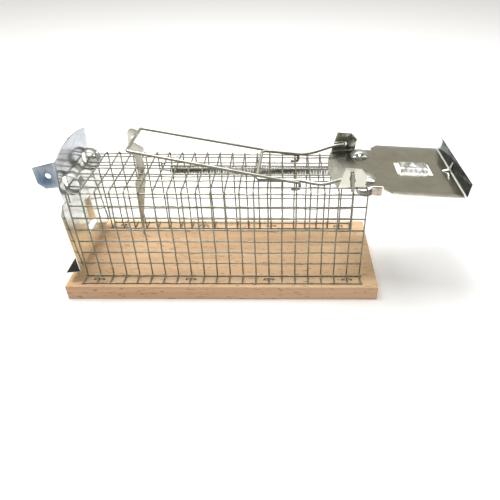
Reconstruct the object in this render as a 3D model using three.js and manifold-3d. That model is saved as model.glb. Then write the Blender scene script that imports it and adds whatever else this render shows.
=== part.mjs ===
// Live catch trap: a half-inch welded mesh tunnel stapled to a beech board, with a pressed
// sheet-metal door on each end wire. The front door is shown set: its wire arm is held down
// by a long bail, and the bail's crossbar sits under the beak of the trigger.
// Millimetres, +Z up, origin at the centre of the board's underside, +X towards the set door.
import * as THREE from "three";
import { mergeVertices } from "three/addons/utils/BufferGeometryUtils.js";
import Module from "manifold-3d";

const wasm = await Module();
wasm.setup();

// Driving dimensions
const BOARD = { length: 300, width: 120, thickness: 15 };
const TOP = BOARD.thickness;
const PITCH = 12.7;
const MESH_WIRE = 1.2;
const CROSS_WIRES = 22;
const WALL_Y = 42;
const FLANGE_Y = WALL_Y + PITCH;
const WALL_FIRST_WIRE = 14.9;
const WALL_WIRES = 7;
const ROOF_HEIGHT = 93;
const ROOF_WIRES = 6;
const GAP = 0.3;
const ROOF_Z = TOP + ROOF_HEIGHT;
const HINGE_X = ((CROSS_WIRES - 1) * PITCH) / 2;

const STAPLE = { wire: 1.1, halfSpan: 4.6, legDepth: 9, y: (WALL_Y + FLANGE_Y) / 2 };
const STAPLED_WIRES = [1, 8, 14, 20];

const SHEET = 0.8;
const DOOR = {
  offset: 4.9,
  halfWidth: 52,
  shoulder: 44,
  neck: 40,
  shoulderDrop: 13,
  chamferDrop: 20,
  flange: 13.8,
  flangeDroop: 1,
  fanCorner: 27,
  fanApex: 33,
};
const FOLD_DROP = { rear: 80.5, front: 84.5 };
const FAN_TILT = THREE.MathUtils.degToRad(7);
const OPEN_ANGLE = THREE.MathUtils.degToRad(87.2);
const REAR_LEAN = THREE.MathUtils.degToRad(2.7);
const LOOP = { outer: 10, width: 9.6, y: 2 * PITCH, window: 12, windowEdge: 0.6 };
const WINDOW = { top: 31, bottom: 64.5, halfWidth: 12, depth: 4 };
const BRIDGE = { top: 34, bottom: 60, rise: 4, slope: 6, holeR: 3 };
const SIDE_TAB = { top: 3.5, bottom: 12.5, reach: 3 };
const EAR = { root: 3.4, corner: [11.7, 1.3], lower: [18, 6], upper: [20, 20.5] };
const BENT_EAR = THREE.MathUtils.degToRad(50);
const EAR_HOLE = { out: 12.5, up: 14, r: 2.5 };
const TAIL = { y: PITCH, halfWidth: 3.5, drop: 3, reach: 10, holeReach: 7, holeR: 1.6 };
const TAIL_RING = { r: 2.2, wireR: 0.6 };

// Wire paths as [x, distance from the middle plane, height above the roof]. The arm is bent by
// hand: its far leg stands a little higher than its near one.
const ARM = {
  wireR: 1.6,
  bend: 5,
  far: [
    [37.5, 25.2, 10],
    [66, 25.5, 7.4],
    [76, 25.8, 6],
    [88, 31, 5.8],
    [104, 34.8, 9.8],
  ],
  near: [
    [34, 25.2, 4.8],
    [66, 25.5, 3.8],
    [76, 25.8, 3.6],
    [87, 31.5, 3.8],
    [95, 33.5, 4.4],
    [104, 35, 8],
  ],
  throughEar: [
    [111.5, 36.4, 11.2],
    [119.1, 37, 11.5],
    [119.1, 43, 11.5],
    [119.1, 43, 2],
  ],
};
const BAIL = {
  wireR: 1.3,
  bend: 3,
  pivotX: 5.5 * PITCH,
  leg: [
    [-78, 26, 32],
    [64.85, 29.2, 4.6],
  ],
  hook: { above: 3.8, below: 2.9, beyond: 3.3, back: 4.5, y: 29.3 },
};
const TRIGGER = { thickness: 1.2, x: -6 * PITCH, pivotBelowRoof: 2, pinR: 1 };
const SPRING = { y: PITCH, z: ROOF_Z - 5.8, outerR: 4.7, innerR: 3.9, startX: -52, endX: 127 };
const SPRING_LINK = { wireR: 0.7, bend: 1.5, anchorX: -4.5 * PITCH, over: 2, back: 2.4, beyond: 1.8 };

// The trigger's edge as [x, height above the board], from under the beak round the blade.
const TRIGGER_HEAD = { tip: [-71.4, 129.4], brow: [-74, 133], crown: [-79, 138, -84, 133, -83, 127] };
const TRIGGER_EDGE = [
  [-84, 118],
  [-80, 106],
  [-80, 89],
  [-84.4, 80],
  [-85.6, 48],
  [-86, 22],
  [-84.6, 19],
  [-82, 40],
  [-78.6, 60],
  [-73.8, 82],
  [-72.4, 102],
  [-74, 109],
  [-70.2, 113.6],
  [-70.4, 116.4],
  [-79.6, 122],
  [-80.6, 125.6],
  [-79, 128],
];

// Materials
const metal = (color, roughness) =>
  new THREE.MeshStandardMaterial({ color, roughness, metalness: 0.9 });
const BEECH = new THREE.MeshStandardMaterial({ color: 0xe0bf96, roughness: 0.6 });
const MESH_METAL = metal(0x8c8f8b, 0.45);
const SHEET_METAL = metal(0xb9bcb8, 0.3);
const DARK_SHEET_METAL = metal(0x928c78, 0.25);
const BRIGHT_WIRE = metal(0xa8a798, 0.3);
const SPRING_STEEL = metal(0x7f8078, 0.4);

// Axis maps for extruded outlines: which way the outline's two axes and its depth point
const AXES = {
  flat: new THREE.Matrix4(),
  facingX: new THREE.Matrix4().makeBasis(
    new THREE.Vector3(0, 1, 0),
    new THREE.Vector3(0, 0, 1),
    new THREE.Vector3(1, 0, 0),
  ),
  facingY: new THREE.Matrix4().makeBasis(
    new THREE.Vector3(1, 0, 0),
    new THREE.Vector3(0, 0, 1),
    new THREE.Vector3(0, -1, 0),
  ),
};

function outline(points) {
  return new THREE.Shape(points.map(([a, b]) => new THREE.Vector2(a, b)));
}

function circleHole(x, y, r) {
  return new THREE.Path().absarc(x, y, r, 0, 2 * Math.PI, true);
}

// A plate of the given thickness whose middle plane stands at `middle` along its normal.
function plate(shape, axes, thickness, middle, curveSegments = 5) {
  const geometry = new THREE.ExtrudeGeometry(shape, {
    depth: thickness,
    bevelEnabled: false,
    curveSegments,
  });
  const sign = axes === AXES.facingY ? -1 : 1;
  return geometry.translate(0, 0, sign * middle - thickness / 2).applyMatrix4(axes);
}

function solid(geometry) {
  const bare = geometry.index ? geometry.toNonIndexed() : geometry.clone();
  bare.deleteAttribute("normal");
  bare.deleteAttribute("uv");
  const merged = mergeVertices(bare, 1e-4);
  return new wasm.Manifold(
    new wasm.Mesh({
      numProp: 3,
      vertProperties: merged.attributes.position.array,
      triVerts: new Uint32Array(merged.index.array),
    }),
  );
}

function geometryOf(manifold) {
  const mesh = manifold.getMesh();
  const geometry = new THREE.BufferGeometry();
  geometry.setAttribute("position", new THREE.BufferAttribute(mesh.vertProperties, 3));
  geometry.setIndex(new THREE.BufferAttribute(mesh.triVerts, 1));
  geometry.computeVertexNormals();
  return geometry;
}

function joined(geometries) {
  return geometries.map(solid).reduce((whole, piece) => whole.add(piece));
}

// A round wire along straight runs whose corners are eased by `bend`.
function wire(points, radius, bend, steps) {
  const at = points.map((p) => new THREE.Vector3(...p));
  const path = new THREE.CurvePath();
  let from = at[0];
  at.slice(1, -1).forEach((corner, i) => {
    const reach = Math.min(
      bend,
      corner.distanceTo(at[i]) / 2,
      corner.distanceTo(at[i + 2]) / 2,
    );
    const before = corner.clone().add(at[i].clone().sub(corner).setLength(reach));
    const after = corner.clone().add(at[i + 2].clone().sub(corner).setLength(reach));
    path.add(new THREE.LineCurve3(from, before));
    path.add(new THREE.QuadraticBezierCurve3(before, corner, after));
    from = after;
  });
  path.add(new THREE.LineCurve3(from, at[at.length - 1]));
  const section = new THREE.Shape().absarc(0, 0, radius, 0, 2 * Math.PI);
  return new THREE.ExtrudeGeometry(section, { extrudePath: path, steps, curveSegments: 4 });
}

const trap = new THREE.Group();

function add(parent, name, geometry, material) {
  const mesh = new THREE.Mesh(geometry, material);
  mesh.name = name;
  parent.add(mesh);
  return mesh;
}

// Welded mesh lying flat: cross wires at every `us` from `low` to `high`, and long wires at `vs`.
// It is a grid of small rectangles, solid where a wire runs, with walls where it meets a cell.
function grille(us, vs, low, high) {
  const h = MESH_WIRE / 2;
  const xs = us.flatMap((u) => [u - h, u + h]);
  const ys = [low, ...vs.flatMap((v) => [v - h, v + h]), high].filter(
    (y, j, all) => j === 0 || y - all[j - 1] > 0.01,
  );
  const onLongWire = (j) => vs.some((v) => Math.abs((ys[j] + ys[j + 1]) / 2 - v) < h);
  const isSolid = (i, j) =>
    i >= 0 &&
    j >= 0 &&
    i + 1 < xs.length &&
    j + 1 < ys.length &&
    (i % 2 === 0 || onLongWire(j));
  const id = (i, j, upper) => (i * ys.length + j) * 2 + upper;
  const positions = xs.flatMap((x) => ys.flatMap((y) => [x, y, -h, x, y, h]));
  const triangles = [];
  const quad = (a, b, c, d) => triangles.push(a, b, c, a, c, d);
  for (let i = 0; i + 1 < xs.length; i++) {
    for (let j = 0; j + 1 < ys.length; j++) {
      if (!isSolid(i, j)) continue;
      const [a, b, c, d] = [[i, j], [i + 1, j], [i + 1, j + 1], [i, j + 1]];
      quad(id(...a, 1), id(...b, 1), id(...c, 1), id(...d, 1));
      quad(id(...d, 0), id(...c, 0), id(...b, 0), id(...a, 0));
      const sides = [
        [isSolid(i, j - 1), a, b],
        [isSolid(i + 1, j), b, c],
        [isSolid(i, j + 1), c, d],
        [isSolid(i - 1, j), d, a],
      ];
      for (const [covered, from, to] of sides) {
        if (!covered) quad(id(...from, 0), id(...to, 0), id(...to, 1), id(...from, 1));
      }
    }
  }
  const geometry = new THREE.BufferGeometry();
  geometry.setAttribute("position", new THREE.Float32BufferAttribute(positions, 3));
  geometry.setIndex(triangles);
  geometry.computeVertexNormals();
  return geometry;
}

const crossWireXs = Array.from({ length: CROSS_WIRES }, (_, i) => i * PITCH - HINGE_X);

function addMesh() {
  const h = MESH_WIRE / 2;
  const wallZs = Array.from(
    { length: WALL_WIRES },
    (_, k) => TOP + WALL_FIRST_WIRE + k * PITCH,
  );
  const roofYs = Array.from(
    { length: ROOF_WIRES },
    (_, k) => (k - (ROOF_WIRES - 1) / 2) * PITCH,
  );
  const flangeZ = TOP + GAP + h;
  for (const [side, sign] of [["near", -1], ["far", 1]]) {
    const flangeYs = [WALL_Y * sign, FLANGE_Y * sign].sort((p, q) => p - q);
    const flange = grille(crossWireXs, flangeYs, flangeYs[0] - h, flangeYs[1] + h);
    add(trap, `mesh_${side}_flange`, flange.translate(0, 0, flangeZ), MESH_METAL);
    const wall = grille(crossWireXs, wallZs, flangeZ + h + GAP, ROOF_Z - h - GAP);
    wall.rotateX(Math.PI / 2).translate(0, sign * WALL_Y, 0);
    add(trap, `mesh_${side}_wall`, wall, MESH_METAL);
  }
  const roof = grille(crossWireXs, roofYs, -WALL_Y - h, WALL_Y + h);
  add(trap, "mesh_roof", roof.translate(0, 0, ROOF_Z), MESH_METAL);
}

const staplePlaces = STAPLED_WIRES.flatMap((wireNumber, i) =>
  [["near", -1], ["far", 1]].map(([side, sign]) => ({
    name: `staple_${side}_${i + 1}`,
    x: crossWireXs[wireNumber],
    y: sign * STAPLE.y,
  })),
);

// The board, with a blind hole round every staple leg.
function addBoard() {
  const legHole = STAPLE.wire + 2 * GAP;
  const block = new THREE.BoxGeometry(BOARD.length, BOARD.width, BOARD.thickness);
  let board = solid(block.translate(0, 0, BOARD.thickness / 2));
  for (const { x, y } of staplePlaces) {
    for (const side of [-1, 1]) {
      const hole = new THREE.BoxGeometry(legHole, legHole, 2 * (STAPLE.legDepth + GAP));
      board = board.subtract(solid(hole.translate(x + side * STAPLE.halfSpan, y, TOP)));
    }
  }
  add(trap, "base_board", geometryOf(board), BEECH);
}

function addStaples() {
  const crown = TOP + 2 * GAP + MESH_WIRE;
  const foot = TOP - STAPLE.legDepth;
  const outer = STAPLE.halfSpan + STAPLE.wire / 2;
  const inner = STAPLE.halfSpan - STAPLE.wire / 2;
  const shape = outline([
    [-outer, foot],
    [-inner, foot],
    [-inner, crown],
    [inner, crown],
    [inner, foot],
    [outer, foot],
    [outer, crown + STAPLE.wire],
    [-outer, crown + STAPLE.wire],
  ]);
  for (const { name, x, y } of staplePlaces) {
    const staple = plate(shape, AXES.facingY, STAPLE.wire, 0).translate(x, y, 0);
    add(trap, name, staple, BRIGHT_WIRE);
  }
}

// The lower part of a door's sheet: neck, chamfered shoulders and the plate down to its fold.
function doorPlate(foldDrop) {
  return outline([
    [-DOOR.neck, 0],
    [-DOOR.neck, -DOOR.shoulderDrop],
    [-DOOR.shoulder, -DOOR.shoulderDrop],
    [-DOOR.halfWidth, -DOOR.chamferDrop],
    [-DOOR.halfWidth, -foldDrop],
    [DOOR.halfWidth, -foldDrop],
    [DOOR.halfWidth, -DOOR.chamferDrop],
    [DOOR.shoulder, -DOOR.shoulderDrop],
    [DOOR.neck, -DOOR.shoulderDrop],
    [DOOR.neck, 0],
  ]);
}

// The fan above the hinge line and its two ears, tilted a little towards the tunnel. An ear's lean
// is how far it is bent past square, towards the back of the fan.
function doorFan(middle, leans) {
  const fan = outline([
    [-DOOR.neck, -SHEET],
    [DOOR.neck, -SHEET],
  ]);
  const rise = DOOR.fanApex - DOOR.fanCorner;
  const fanR = (DOOR.neck ** 2 + rise ** 2) / (2 * rise);
  const half = Math.asin(DOOR.neck / fanR);
  fan.absarc(0, DOOR.fanApex - fanR, fanR, Math.PI / 2 - half, Math.PI / 2 + half, false);
  const edge = [[0, EAR.root], EAR.corner, EAR.lower, EAR.upper, [0, DOOR.fanCorner]];
  const ear = outline(edge.map(([out, up]) => [DOOR.offset + out, up]));
  ear.holes.push(circleHole(EAR_HOLE.out, EAR_HOLE.up, EAR_HOLE.r));
  const pieces = [plate(fan, AXES.facingX, SHEET, middle, 8)];
  for (const [side, lean] of [[-1, leans.left], [1, leans.right]]) {
    const y = side * (DOOR.neck - SHEET / 2);
    const flat = plate(ear, AXES.facingY, SHEET, 0, 6).translate(-middle, 0, 0);
    pieces.push(flat.rotateZ(-side * lean).translate(middle, y, 0));
  }
  return pieces.map((g) => g.translate(-middle, 0, 0).rotateY(-FAN_TILT).translate(middle, 0, 0));
}

// The strip left across the window, pressed outwards, with a round hole in its middle.
function windowBridge() {
  const inner = DOOR.offset + BRIDGE.rise;
  const outer = inner + SHEET;
  const end = WINDOW.halfWidth;
  const flat = end - BRIDGE.slope;
  const strip = outline([
    [DOOR.offset, -end - SHEET / 2],
    [DOOR.offset + SHEET, -end - SHEET / 2],
    [outer, -flat - GAP],
    [outer, flat + GAP],
    [DOOR.offset + SHEET, end + SHEET / 2],
    [DOOR.offset, end + SHEET / 2],
    [DOOR.offset, end],
    [inner, flat],
    [inner, -flat],
    [DOOR.offset, -end],
  ]);
  const height = BRIDGE.bottom - BRIDGE.top;
  const middle = -(BRIDGE.bottom + BRIDGE.top) / 2;
  const hole = new THREE.CylinderGeometry(BRIDGE.holeR, BRIDGE.holeR, WINDOW.depth, 16);
  hole.rotateZ(Math.PI / 2).translate(inner, 0, middle);
  return solid(plate(strip, AXES.flat, height, middle)).subtract(solid(hole));
}

// The bottom edge, folded outwards to stiffen the plate.
function doorFlange(foldDrop) {
  const tip = DOOR.offset + DOOR.flange;
  const shape = outline([
    [DOOR.offset, -foldDrop],
    [tip, -foldDrop - DOOR.flangeDroop],
    [tip, -foldDrop - DOOR.flangeDroop + SHEET],
    [DOOR.offset + SHEET, -foldDrop + SHEET],
    [DOOR.offset, -foldDrop + SHEET],
  ]);
  return plate(shape, AXES.facingY, 2 * DOOR.halfWidth, 0);
}

// The two small tabs bent inwards from the edges of the neck.
function doorSideTabs() {
  const length = DOOR.offset + SHEET + SIDE_TAB.reach;
  const x = (DOOR.offset + SHEET - SIDE_TAB.reach) / 2;
  const y = DOOR.neck - SHEET / 2;
  const z = -(SIDE_TAB.top + SIDE_TAB.bottom) / 2;
  return [-1, 1].map((side) =>
    new THREE.BoxGeometry(length, SHEET, SIDE_TAB.bottom - SIDE_TAB.top).translate(x, side * y, z),
  );
}

// One door, hanging closed from a hinge axis at the origin: X is outward, Z is up.
function door(foldDrop, leans = { left: 0, right: 0 }) {
  const middle = DOOR.offset + SHEET / 2;
  const windowHeight = WINDOW.bottom - WINDOW.top;
  const windowZ = -(WINDOW.bottom + WINDOW.top) / 2;
  const window = new THREE.BoxGeometry(WINDOW.depth, 2 * WINDOW.halfWidth, windowHeight);
  const openings = [window.translate(middle, 0, windowZ)];
  const ring = new THREE.Shape().absarc(0, 0, LOOP.outer, 0, 2 * Math.PI);
  ring.holes.push(circleHole(0, 0, LOOP.outer - SHEET));
  const rings = [];
  for (const side of [-1, 1]) {
    rings.push(plate(ring, AXES.facingY, LOOP.width, side * LOOP.y, 8));
    const slotWidth = LOOP.width - 2 * LOOP.windowEdge;
    const slot = new THREE.BoxGeometry(WINDOW.depth, slotWidth, LOOP.window);
    openings.push(slot.translate(middle, side * LOOP.y, 0));
  }
  const blank = joined([
    plate(doorPlate(foldDrop), AXES.facingX, SHEET, middle),
    ...doorFan(middle, leans),
  ]);
  const sheet = openings.map(solid).reduce((rest, opening) => rest.subtract(opening), blank);
  return joined([doorFlange(foldDrop), ...doorSideTabs(), ...rings]).add(windowBridge()).add(sheet);
}

// The tab that the spring pulls: it reaches in under the hinge wire when the door is closed.
function doorTail() {
  const tail = outline([
    [DOOR.offset + SHEET / 2, TAIL.y - TAIL.halfWidth],
    [DOOR.offset + SHEET / 2, TAIL.y + TAIL.halfWidth],
    [-TAIL.reach, TAIL.y + TAIL.halfWidth],
    [-TAIL.reach, TAIL.y - TAIL.halfWidth],
  ]);
  tail.holes.push(circleHole(-TAIL.holeReach, TAIL.y, TAIL.holeR));
  return plate(tail, AXES.flat, SHEET, -TAIL.drop, 4);
}

function addDoors() {
  const rear = new THREE.Group();
  rear.position.set(-HINGE_X, 0, ROOF_Z);
  rear.rotation.set(0, -REAR_LEAN, Math.PI);
  const rearDoor = door(FOLD_DROP.rear, { left: BENT_EAR, right: 0 });
  add(rear, "rear_door", geometryOf(rearDoor), SHEET_METAL);
  const front = new THREE.Group();
  front.position.set(HINGE_X, 0, ROOF_Z);
  front.rotation.y = -OPEN_ANGLE;
  const frontDoor = geometryOf(door(FOLD_DROP.front).add(solid(doorTail())));
  add(front, "front_door", frontDoor, DARK_SHEET_METAL);
  const tailRing = new THREE.TorusGeometry(TAIL_RING.r, TAIL_RING.wireR, 6, 12);
  tailRing.rotateX(Math.PI / 2);
  tailRing.translate(-TAIL.holeReach - TAIL_RING.r, TAIL.y, -TAIL.drop);
  add(front, "spring_tail_ring", tailRing, SPRING_STEEL);
  trap.add(rear, front);
}

// A U of wire: its near leg in reverse, then its far leg.
function wireU(near, far, radius, bend, steps) {
  const start = near.map(([x, y, z]) => [x, -y, ROOF_Z + z]).reverse();
  const end = far.map(([x, y, z]) => [x, y, ROOF_Z + z]);
  return wire([...start, ...end], radius, bend, steps);
}

// The U of thick wire that rides on the front door's ears and lies under the bail.
function addDoorArm() {
  const near = [...ARM.near, ...ARM.throughEar];
  const far = [...ARM.far, ...ARM.throughEar];
  add(trap, "door_arm", wireU(near, far, ARM.wireR, ARM.bend, 64), BRIGHT_WIRE);
}

// The long U that holds the arm down, hooked under a roof wire at its open end.
function addBail() {
  const { above, below, beyond, back, y } = BAIL.hook;
  const leg = [
    ...BAIL.leg,
    [BAIL.pivotX + beyond, y, above],
    [BAIL.pivotX + beyond, y, -below],
    [BAIL.pivotX - back, y, -below],
  ];
  add(trap, "bail", wireU(leg, leg, BAIL.wireR, BAIL.bend, 72), BRIGHT_WIRE);
}

// The trigger: a flat plate whose beak holds the bail's crossbar and whose blade hangs inside.
function addTrigger() {
  const pivotZ = ROOF_Z - TRIGGER.pivotBelowRoof;
  const raised = ([x, z]) => [x, TOP + z];
  const [x1, z1, x2, z2, x3, z3] = TRIGGER_HEAD.crown;
  const shape = new THREE.Shape();
  shape.moveTo(...raised(TRIGGER_HEAD.tip));
  shape.lineTo(...raised(TRIGGER_HEAD.brow));
  shape.bezierCurveTo(x1, TOP + z1, x2, TOP + z2, x3, TOP + z3);
  TRIGGER_EDGE.forEach((point) => shape.lineTo(...raised(point)));
  shape.holes.push(circleHole(TRIGGER.x, pivotZ, TRIGGER.pinR + GAP));
  add(trap, "trigger", plate(shape, AXES.facingY, TRIGGER.thickness, 0, 5), SHEET_METAL);
  const pin = new THREE.CylinderGeometry(TRIGGER.pinR, TRIGGER.pinR, 2 * PITCH, 8);
  add(trap, "trigger_pivot_pin", pin.translate(TRIGGER.x, 0, pivotZ), BRIGHT_WIRE);
}

// The closing spring, as the tube that its coil fills, and the link that ties it to the mesh.
function addSpring() {
  const ring = new THREE.Shape().absarc(SPRING.y, SPRING.z, SPRING.outerR, 0, 2 * Math.PI);
  ring.holes.push(circleHole(SPRING.y, SPRING.z, SPRING.innerR));
  const length = SPRING.endX - SPRING.startX;
  const tube = plate(ring, AXES.facingX, length, (SPRING.startX + SPRING.endX) / 2, 6);
  add(trap, "spring", tube, SPRING_STEEL);
  const { wireR, bend, anchorX, over, back, beyond } = SPRING_LINK;
  const link = wire(
    [
      [SPRING.startX - GAP, SPRING.y, SPRING.z],
      [anchorX - back, SPRING.y, SPRING.z + 2 * GAP],
      [anchorX - back, SPRING.y, ROOF_Z + over],
      [anchorX + beyond, SPRING.y, ROOF_Z + over],
    ],
    wireR,
    bend,
    14,
  );
  add(trap, "spring_anchor_link", link, SPRING_STEEL);
}

addBoard();
addStaples();
addMesh();
addDoors();
addDoorArm();
addBail();
addTrigger();
addSpring();

export default trap;
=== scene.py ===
"""Live catch trap: a welded mesh tunnel stapled to a beech board, with a folded zinc-plated door
on each end wire. The front door is set, its wire arm held down by the bail and the trigger.
Lengths in the tables below are millimetres in the frame's axes; mesh data are metres."""
import math

import bmesh
import bpy
from mathutils import Matrix, Vector, noise


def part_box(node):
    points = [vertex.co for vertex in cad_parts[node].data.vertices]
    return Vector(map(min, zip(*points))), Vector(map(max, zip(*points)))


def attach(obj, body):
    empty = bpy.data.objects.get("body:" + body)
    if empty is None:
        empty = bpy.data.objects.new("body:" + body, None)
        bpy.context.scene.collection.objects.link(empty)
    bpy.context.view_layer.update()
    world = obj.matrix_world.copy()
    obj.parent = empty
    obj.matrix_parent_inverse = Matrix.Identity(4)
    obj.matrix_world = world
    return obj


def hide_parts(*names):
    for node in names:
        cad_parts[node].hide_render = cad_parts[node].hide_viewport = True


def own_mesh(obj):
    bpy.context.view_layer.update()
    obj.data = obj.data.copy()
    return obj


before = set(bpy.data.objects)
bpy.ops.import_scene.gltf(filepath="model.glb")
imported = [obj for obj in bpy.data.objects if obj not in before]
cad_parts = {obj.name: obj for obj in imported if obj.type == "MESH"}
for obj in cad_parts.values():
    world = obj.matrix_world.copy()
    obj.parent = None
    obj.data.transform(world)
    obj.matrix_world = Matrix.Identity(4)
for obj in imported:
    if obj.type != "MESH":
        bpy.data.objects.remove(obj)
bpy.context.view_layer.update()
NOISE_SEED = 5
noise.seed_set(NOISE_SEED)  # unseeded, the sway of the mesh differs from run to run

MM = 0.001

# Driving dimensions, from the frame
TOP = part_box("base_board")[1].z / MM
ROOF_Z = (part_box("mesh_roof")[0].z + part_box("mesh_roof")[1].z) / 2 / MM
WIRE = (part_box("mesh_roof")[1].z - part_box("mesh_roof")[0].z) / MM
HINGE_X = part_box("mesh_roof")[1].x / MM - WIRE / 2
WALL_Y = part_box("mesh_roof")[1].y / MM - WIRE / 2
FLANGE_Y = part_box("mesh_far_flange")[1].y / MM - WIRE / 2
PITCH = 12.7
CROSS_WIRES = 22
WIRE_R = 0.7
WELD_SINK = 0.35
WELD_R = WIRE_R * 1.22
MESH_STUB = 2.2
WALL_STUB = 0.95
ROOF_BEND = 3.0
SWAY = 0.55
SWAY_SCALE = 1 / 34
JITTER = 0.22
JITTER_SCALE = 1 / 9
CHAMFER = 0.3


# ---------------------------------------------------------------- wires

def eased(corners, bend, step):
    """Points about `step` apart along straight runs whose corners are rounded to a reach of `bend`."""
    at = [Vector(c) for c in corners]
    path = [at[0]]
    for before, corner, after in zip(at, at[1:], at[2:]):
        reach = min(bend, (corner - before).length / 2, (after - corner).length / 2)
        a = corner + (before - corner).normalized() * reach
        b = corner + (after - corner).normalized() * reach
        path.append(a)
        arc = max(4, round(2 * reach / step))
        for i in range(1, arc):
            t = i / arc
            path.append(a * (1 - t) ** 2 + corner * (2 * t * (1 - t)) + b * t * t)
        path.append(b)
    path.append(at[-1])
    fine = [path[0]]
    for a, b in zip(path, path[1:]):
        length = (b - a).length
        if length < 1e-6:
            continue
        parts = max(1, round(length / step))
        fine += [a.lerp(b, i / parts) for i in range(1, parts + 1)]
    return fine


def sweep(bm, path, radius, sides=10, closed=False):
    """A round bar along the path, with chamfered cut ends."""
    count = len(path)

    def tangent(i):
        if closed:
            return (path[(i + 1) % count] - path[i - 1]).normalized()
        return (path[min(i + 1, count - 1)] - path[max(i - 1, 0)]).normalized()

    along = tangent(0)
    across = along.orthogonal().normalized()
    stations = []
    for i, p in enumerate(path):
        new_along = tangent(i)
        across = along.rotation_difference(new_along) @ across
        across = (across - new_along * across.dot(new_along)).normalized()
        along = new_along
        stations.append((p, across.copy(), along.cross(across), radius))
    if not closed:
        chamfer = radius * CHAMFER
        first, last = stations[0], stations[-1]
        start, end = tangent(0) * chamfer, tangent(count - 1) * chamfer
        stations[0] = (first[0] + start, *first[1:])
        stations[-1] = (last[0] - end, *last[1:])
        stations.insert(0, (first[0], first[1], first[2], radius - chamfer))
        stations.append((last[0], last[1], last[2], radius - chamfer))
    rings = []
    angles = [2 * math.pi * k / sides for k in range(sides)]
    for p, u, v, r in stations:
        rings.append([bm.verts.new((p + u * r * math.cos(a) + v * r * math.sin(a)) * MM) for a in angles])
    if closed:
        twist = min(
            range(sides),
            key=lambda s: (rings[0][s].co - rings[-1][0].co).length,
        )
        rings.append(rings[0][twist:] + rings[0][:twist])
    skin(bm, rings, capped=not closed)


def skin(bm, rings, capped=True):
    """Walls between successive rings of vertices, and flat ends."""
    count = len(rings[0])
    for low, high in zip(rings, rings[1:]):
        for k in range(count):
            n = (k + 1) % count
            bm.faces.new((low[k], low[n], high[n], high[k]))
    if capped:
        bm.faces.new(reversed(rings[0]))
        bm.faces.new(rings[-1])


def piece(name, bm, body, material, replaced=(), sharp=40):
    """Turns a bmesh into a finished piece of the object, riding on a body."""
    bmesh.ops.recalc_face_normals(bm, faces=bm.faces)
    mesh = bpy.data.meshes.new(name)
    bm.to_mesh(mesh)
    bm.free()
    mesh.shade_smooth()
    mesh.set_sharp_from_angle(angle=math.radians(sharp))
    mesh.materials.append(material)
    obj = bpy.data.objects.new(name, mesh)
    bpy.context.scene.collection.objects.link(obj)
    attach(obj, body)
    if replaced:
        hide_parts(*replaced)
    return obj


def wire_piece(name, corners, radius, bend, body, material, replaced=(), step=1.2, sides=12):
    bm = bmesh.new()
    sweep(bm, eased(corners, bend, step), radius, sides)
    return piece(name, bm, body, material, replaced)


# ---------------------------------------------------------------- materials

def shader(name):
    """A new material with its Principled shader, and a function that adds nodes to it."""
    material = bpy.data.materials.new(name)
    material.use_nodes = True
    tree = material.node_tree
    principled = next(n for n in tree.nodes if n.type == "BSDF_PRINCIPLED")

    def add(kind, inputs=None, **settings):
        made = tree.nodes.new("ShaderNode" + kind)
        for key, value in settings.items():
            setattr(made, key, value)
        for key, value in (inputs or {}).items():
            if isinstance(value, bpy.types.NodeSocket):
                tree.links.new(value, made.inputs[key])
            else:
                made.inputs[key].default_value = value
        return made

    def wire_up(socket, value):
        if isinstance(value, bpy.types.NodeSocket):
            tree.links.new(value, principled.inputs[socket])
        else:
            principled.inputs[socket].default_value = value

    return material, add, wire_up


def stretched(add, scale, turn=0.0):
    """Object coordinates scaled by (x, y, z) after a turn about Z and Y."""
    where = add("TexCoord").outputs["Object"]
    return add(
        "Mapping", {"Vector": where, "Rotation": (0, turn, turn), "Scale": scale}
    ).outputs["Vector"]


def ramp(add, factor, stops):
    """A colour ramp from (position, colour or grey) stops."""
    made = add("ValToRGB", {"Fac": factor})
    elements = made.color_ramp.elements
    while len(elements) < len(stops):
        elements.new(0.5)
    for element, (position, colour) in zip(elements, stops):
        element.position = position
        element.color = (*colour, 1) if isinstance(colour, tuple) else (colour, colour, colour, 1)
    return made.outputs["Color"]


def blotches(add, scale, detail=4, roughness=0.6, vector=None):
    vector = vector or add("TexCoord").outputs["Object"]
    return add(
        "TexNoise",
        {"Vector": vector, "Scale": scale, "Detail": detail, "Roughness": roughness},
    ).outputs["Fac"]


def mixed(add, factor, a, b, blend="MIX"):
    return add(
        "Mix", {0: factor, 6: a, 7: b}, data_type="RGBA", blend_type=blend
    ).outputs[2]


def scratches(add, turn, fineness, threshold):
    """Thin straight marks along one direction, 0 where clean and 1 in a mark."""
    lines = blotches(add, 1, 2, 0.5, stretched(add, (18, fineness, fineness), turn))
    return ramp(add, lines, [(threshold, 0.0), (threshold + 0.03, 1.0)])


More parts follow.
